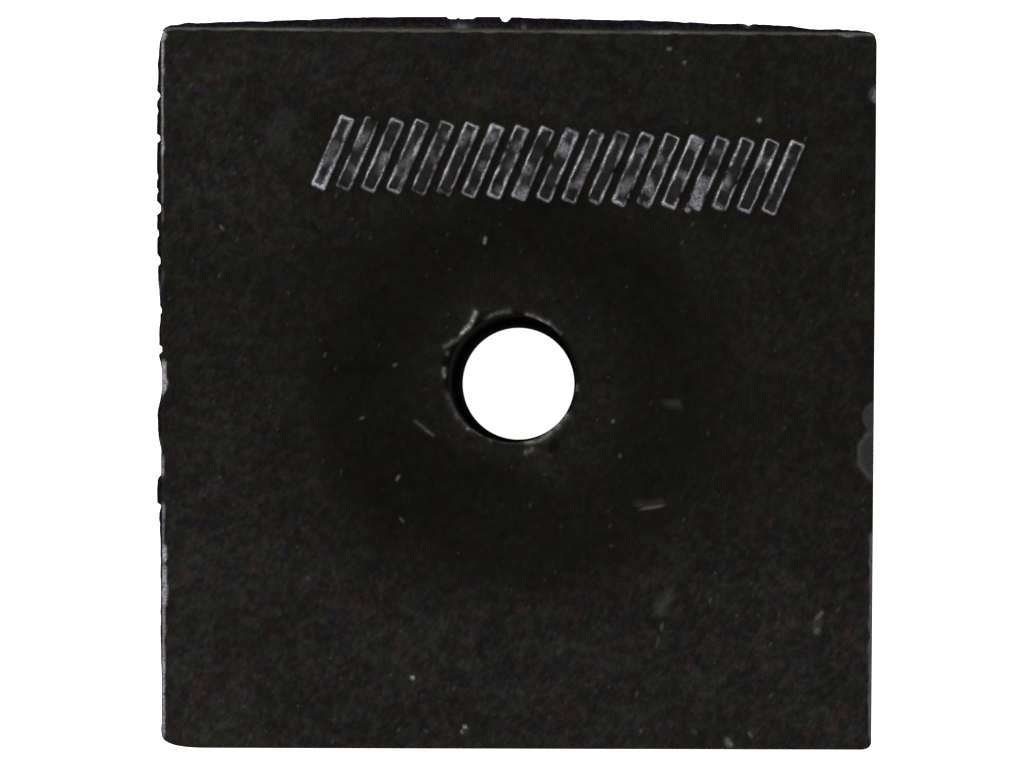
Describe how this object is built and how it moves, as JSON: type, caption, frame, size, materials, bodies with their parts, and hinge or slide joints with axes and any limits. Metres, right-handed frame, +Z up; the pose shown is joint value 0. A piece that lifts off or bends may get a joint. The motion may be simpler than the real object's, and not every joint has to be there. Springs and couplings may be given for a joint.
{
  "type": "rubber buffer block",
  "caption": "Square moulded rubber buffer block with a trimmed lip of mould flash along two sides of its ribbed face, a plain through bore for a bolt and a row of raised grip ribs.",
  "frame": {"origin": "middle of the base of the block's bounding box, on the flat underside", "axes": "+Z up from the underside to the ribbed face, +Y towards the side that the row of ribs is nearest to, +X to the right as seen from above with +Y away"},
  "size_m": [0.0508, 0.0518, 0.0254],
  "materials": {
    "rubber": "matt moulded black rubber with a pale bloom along its worn edges"
  },
  "bodies": {
    "root": {"buffer_block": "rubber"}
  },
  "joints": []
}
